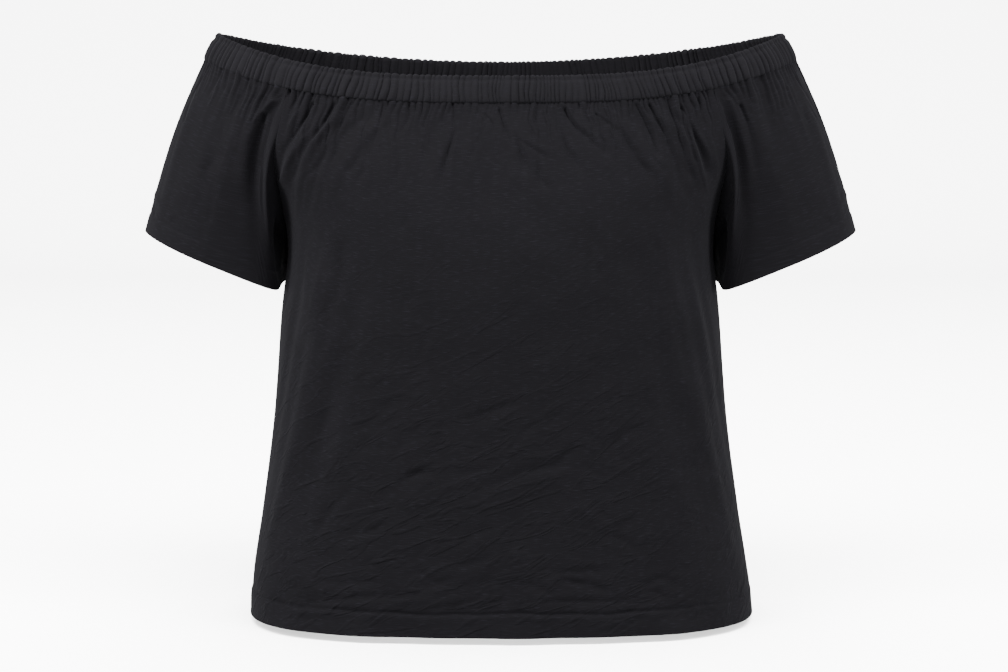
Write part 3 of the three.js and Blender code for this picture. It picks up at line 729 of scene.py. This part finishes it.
# Casing: its section swept round the neckline, rippled by the gathers, whose crests differ
# in height and lean a little
def casingPiece(name):
    angle = np.linspace(-np.pi, np.pi, casing["columns"], endpoint=False)[None, :]
    up, out, ripple = (sectionAt(key)[:, None] for key in ("up", "out", "ripple"))
    across = neckPoint(angle + 0.01, 0.5) - neckPoint(angle - 0.01, 0.5)
    normal = unit(np.cross(across, neckPoint(angle, 1) - neckPoint(angle, 0)))
    phase = gatherPhase(angle + 0.003 * np.sin(up * 4 + 9 * angle) + 0.0012 * np.sin(up * 6 + 61 * angle))
    own = np.floor(phase).astype(int) % gathers["count"]
    high = gatherWide[own] ** 0.7 * (0.5 + 0.9 * gatherRandom[2, own])
    crest = np.abs(np.sin(np.pi * phase)) ** 0.7
    wave = casing["height"] * (2.0 * high * crest - 0.95) * (0.8 + 0.25 * gatherCrowd(angle))
    points = neckPoint(angle, mix(0.02, 1, up)) + normal * (out + wave * ripple)[..., None]
    points[..., 2] += casing["frill"] * (crest - 0.6) * np.clip((up - 0.85) / 0.15, 0, 1)
    rows, columns = points.shape[:2]
    at = np.arange(rows * columns).reshape(rows, columns)
    right, lower = np.roll(at, -1, axis=1), np.roll(at, -1, axis=0)
    cross = np.roll(right, -1, axis=0)
    halves = np.stack([at, right, cross], -1), np.stack([at, cross, lower], -1)
    triangles = np.concatenate(halves).reshape(-1, 3)
    radian, tall, over = casing["flat"]
    uv = np.stack(np.broadcast_arrays(angle * radian, up * tall + (out < 0) * over), -1)
    return meshFrom(name, points.reshape(-1, 3), triangles, np.zeros(len(triangles), bool), uv.reshape(-1, 2))


rightCreases = rightCreases + sharedCreases + smallCreases(sleeveZones, 5)
leftCreases = leftCreases + sharedCreases + smallCreases(sleeveZones, 9)
pieces = {
    "front": bodyPanel("front_cloth", 1),
    "back": bodyPanel("back_cloth", -1),
    "sleeve_right": sleevePiece("sleeve_right_cloth", 1, rightCreases),
    "sleeve_left": sleevePiece("sleeve_left_cloth", -1, leftCreases),
    "neck_casing": casingPiece("casing_cloth"),
}
print("cloth:", {name: len(piece.data.polygons) for name, piece in pieces.items()})


# Adds a node, sets its sockets and properties, and links what feeds it
def addNode(tree, kind, inputs=None, **settings):
    node = tree.nodes.new(kind)
    for key, value in settings.items():
        setattr(node, key, value)
    for key, value in (inputs or {}).items():
        if isinstance(value, bpy.types.NodeSocket):
            tree.links.new(value, node.inputs[key])
        else:
            node.inputs[key].default_value = value
    return node


# The jersey's patterns, in metres along the courses and down: slub yarns, patches where the
# dye took unevenly, knit stitches, and rumples that run diagonally and are strongest below
# the bust. Slubs and stitches are a little coarser than in real jersey, so that they show.
weave = {
    "slub": (0.008, 0.0007),
    "patch": (0.05, 0.03),
    "stitch": (0.00085, 0.0007),
    "yarnRelief": 0.00012,
    "rumple": (0.036, 0.012),
    "rumpleTurn": 0.5,
    "rumpleFrom": -0.12,
    "rumpleFull": -0.4,
}


# Charcoal viscose slub jersey: matt and dark, with short thick yarns that catch the light
# as pale dashes along the courses, a fine knit grain, and a soft bloom where it turns away.
def slubJersey(name, look):
    material = bpy.data.materials.new(name)
    material.use_nodes = True
    tree = material.node_tree
    shader = tree.nodes["Principled BSDF"]
    place = addNode(tree, "ShaderNodeUVMap", uv_map="cloth").outputs[0]
    (slubX, slubY), (patchX, patchY), (stitchX, stitchY) = weave["slub"], weave["patch"], weave["stitch"]

    dashSize = addNode(tree, "ShaderNodeMapping", {0: place, "Scale": (1 / slubX, 1 / slubY, 1)})
    dashes = addNode(tree, "ShaderNodeTexNoise", {
        "Vector": dashSize.outputs[0], "Scale": 1.0, "Detail": 1.0, "Roughness": 0.4})
    dash = addNode(tree, "ShaderNodeMapRange", {"Value": dashes.outputs[0], "From Min": 0.56, "From Max": 0.74})
    patchSize = addNode(tree, "ShaderNodeMapping", {0: place, "Scale": (1 / patchX, 1 / patchY, 1)})
    patches = addNode(tree, "ShaderNodeTexNoise", {
        "Vector": patchSize.outputs[0], "Scale": 1.0, "Detail": 3.0, "Roughness": 0.55})
    yarn = addNode(tree, "ShaderNodeMix", {
        0: dash.outputs[0], 6: linear(look["yarn"]), 7: linear(look["slub"])}, data_type="RGBA")
    tone = addNode(tree, "ShaderNodeMapRange", {
        "Value": patches.outputs[0], "From Min": 0.3, "From Max": 0.7, "To Min": 0.93, "To Max": 1.07})
    toned = addNode(tree, "ShaderNodeMix", {
        0: 1.0, 6: yarn.outputs[2], 7: tone.outputs[0]}, data_type="RGBA", blend_type="MULTIPLY")
    tree.links.new(toned.outputs[2], shader.inputs["Base Color"])

    stitchSize = addNode(tree, "ShaderNodeMapping", {0: place, "Scale": (1 / stitchX, 1 / stitchY, 1)})
    stitches = addNode(tree, "ShaderNodeTexNoise", {
        "Vector": stitchSize.outputs[0], "Scale": 1.0, "Detail": 1.0})
    rumpleSize = addNode(tree, "ShaderNodeMapping", {
        0: place, "Rotation": (0, 0, weave["rumpleTurn"]), "Scale": (*weave["rumple"], 1)},
        vector_type="TEXTURE")
    rumples = addNode(tree, "ShaderNodeTexNoise", {
        "Vector": rumpleSize.outputs[0], "Scale": 1.0, "Detail": 2.0, "Roughness": 0.55, "Distortion": 1.1})
    down = addNode(tree, "ShaderNodeSeparateXYZ", {0: place})
    more = addNode(tree, "ShaderNodeMapRange", {
        "Value": down.outputs[1], "From Min": weave["rumpleFrom"], "From Max": weave["rumpleFull"],
        "To Min": 0.14, "To Max": 1.0})
    signed = addNode(tree, "ShaderNodeMath", {0: rumples.outputs[0], 1: 0.5}, operation="SUBTRACT")
    ridged = addNode(tree, "ShaderNodeMath", {0: signed.outputs[0]}, operation="ABSOLUTE")
    both = addNode(tree, "ShaderNodeMath", {0: ridged.outputs[0], 1: signed.outputs[0]}, operation="ADD")
    folded = addNode(tree, "ShaderNodeMath", {0: both.outputs[0], 1: more.outputs[0]}, operation="MULTIPLY")
    soft = addNode(tree, "ShaderNodeBump", {
        "Height": folded.outputs[0], "Distance": look["rumple"], "Strength": 1.0})
    knit = addNode(tree, "ShaderNodeBump", {
        "Height": stitches.outputs[0], "Distance": weave["yarnRelief"], "Strength": 0.7,
        "Normal": soft.outputs[0]})
    slubs = addNode(tree, "ShaderNodeBump", {
        "Height": dash.outputs[0], "Distance": weave["yarnRelief"], "Strength": 0.6,
        "Normal": knit.outputs[0]})
    tree.links.new(slubs.outputs[0], shader.inputs["Normal"])

    shader.inputs["Roughness"].default_value = 0.85
    shader.inputs["Specular IOR Level"].default_value = 0.06
    shader.inputs["Sheen Weight"].default_value = look["sheen"]
    shader.inputs["Sheen Roughness"].default_value = 0.5
    shader.inputs["Sheen Tint"].default_value = linear("#c8c8d2")
    return material


jersey = slubJersey("slub viscose jersey", {
    "yarn": "#1a191c", "slub": "#222126", "sheen": 0.05, "rumple": 0.0021})
# The casing is the same jersey, its yarn colour painted lighter as painted light on the band, to make up for
# the shade of its gathers
casingJerseyPaintedLighter = slubJersey("slub viscose jersey over elastic, painted lighter", {
    "yarn": "#1f1e21", "slub": "#222126", "sheen": 0.06, "rumple": 0.001})

for node, piece in pieces.items():
    piece.data.materials.append(casingJerseyPaintedLighter if node == "neck_casing" else jersey)
    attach(piece, "root")
    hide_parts(node)
# The stage, in metres: a pale floor just under the hem that sweeps up behind
stage = {
    "floorZ": -0.538, "back": 2.6, "front": -4.5, "wide": 6.0, "bend": 0.9, "high": 3.4,
    "paper": "#f4f4f4",
}


# Backdrop: flat floor, a quarter circle, then an upright wall
def backdrop():
    arc = np.linspace(0, math.pi / 2, 24)
    behind = stage["back"] + stage["bend"]
    y = np.concatenate([[stage["front"]], stage["back"] + stage["bend"] * np.sin(arc), [behind]])
    z = np.concatenate([[0], stage["bend"] * (1 - np.cos(arc)), [stage["high"]]]) + stage["floorZ"]
    left = np.stack([np.full(y.shape, -stage["wide"]), y, z], -1)
    right = left * [-1, 1, 1]
    count = len(y)
    mesh = bpy.data.meshes.new("studio backdrop")
    faces = [(k, k + count, k + 1 + count, k + 1) for k in range(count - 1)]
    mesh.from_pydata(np.concatenate([left, right]).tolist(), [], faces)
    mesh.polygons.foreach_set("use_smooth", [True] * len(faces))
    piece = bpy.data.objects.new("studio backdrop", mesh)
    bpy.context.scene.collection.objects.link(piece)
    material = bpy.data.materials.new("pale seamless paper")
    material.use_nodes = True
    shader = material.node_tree.nodes["Principled BSDF"]
    shader.inputs["Base Color"].default_value = linear(stage["paper"])
    shader.inputs["Roughness"].default_value = 0.95
    mesh.materials.append(material)
    return piece


paper = backdrop()
# The paper is far brighter than the cloth, and would wash out its folds
paper.visible_diffuse = False
paper.visible_glossy = False
paperOnly = bpy.data.collections.new("seamless paper")
paperOnly.objects.link(paper)


# A rectangular light that faces a point; one with a collection lights only what is in it
def softLight(name, place, aim, size, watts, only=None):
    light = bpy.data.lights.new(name, "AREA")
    light.shape, light.size, light.size_y = "RECTANGLE", size[0], size[1]
    light.energy = watts
    lamp = bpy.data.objects.new(name, light)
    lamp.location = place
    away = np.array(place, float) - np.array(aim, float)
    flat = math.hypot(away[0], away[1])
    lamp.rotation_euler = (math.atan2(flat, away[2]), 0, math.atan2(away[0], -away[1]))
    if only:
        lamp.light_linking.receiver_collection = only
    bpy.context.scene.collection.objects.link(lamp)


softLight("key, left", (-2.1, -1.2, 0.9), (0, 0, -0.2), (0.8, 1.4), 66)
softLight("fill, right", (2.2, -1.2, 0.8), (0, 0, -0.2), (0.8, 1.4), 56)
softLight("from above, in front", (-0.3, -0.95, 1.25), (0, 0, -0.02), (0.9, 0.4), 14)
softLight("paper from above", (0, 0.4, 3.2), (0, 0.5, 0), (5.0, 5.0), 1500, paperOnly)
softLight("paper from the front", (0, -1.6, 2.6), (0, 3.4, 0.4), (5.0, 1.6), 1000, paperOnly)

world = bpy.data.worlds.new("studio")
world.use_nodes = True
world.node_tree.nodes["Background"].inputs[0].default_value = (1, 1, 1, 1)
world.node_tree.nodes["Background"].inputs[1].default_value = 0.72
bpy.context.scene.world = world

# Camera: 3 m off, 8 degrees above the middle of the blouse, looking straight at its front
view = {"middle": (0, 0, -0.255), "away": 3.0, "above": 8.0, "lens": 112.8, "right": 0.0033, "down": 0.0143}
above = math.radians(view["above"])
camera = bpy.data.cameras.new("camera")
camera.lens = view["lens"]
camera.sensor_width = 36
eye = np.array(view["middle"]) + view["away"] * np.array([0, -math.cos(above), math.sin(above)])
aim = np.array(view["middle"]) + np.array([view["right"], 0, -view["down"]])
look = aim - eye
lens = bpy.data.objects.new("camera", camera)
lens.location = eye
tilt = math.atan2(look[2], math.hypot(look[0], look[1]))
lens.rotation_euler = (math.pi / 2 + tilt, 0, -math.atan2(look[0], look[1]))
bpy.context.scene.collection.objects.link(lens)
bpy.context.scene.camera = lens
print("stage and camera done")
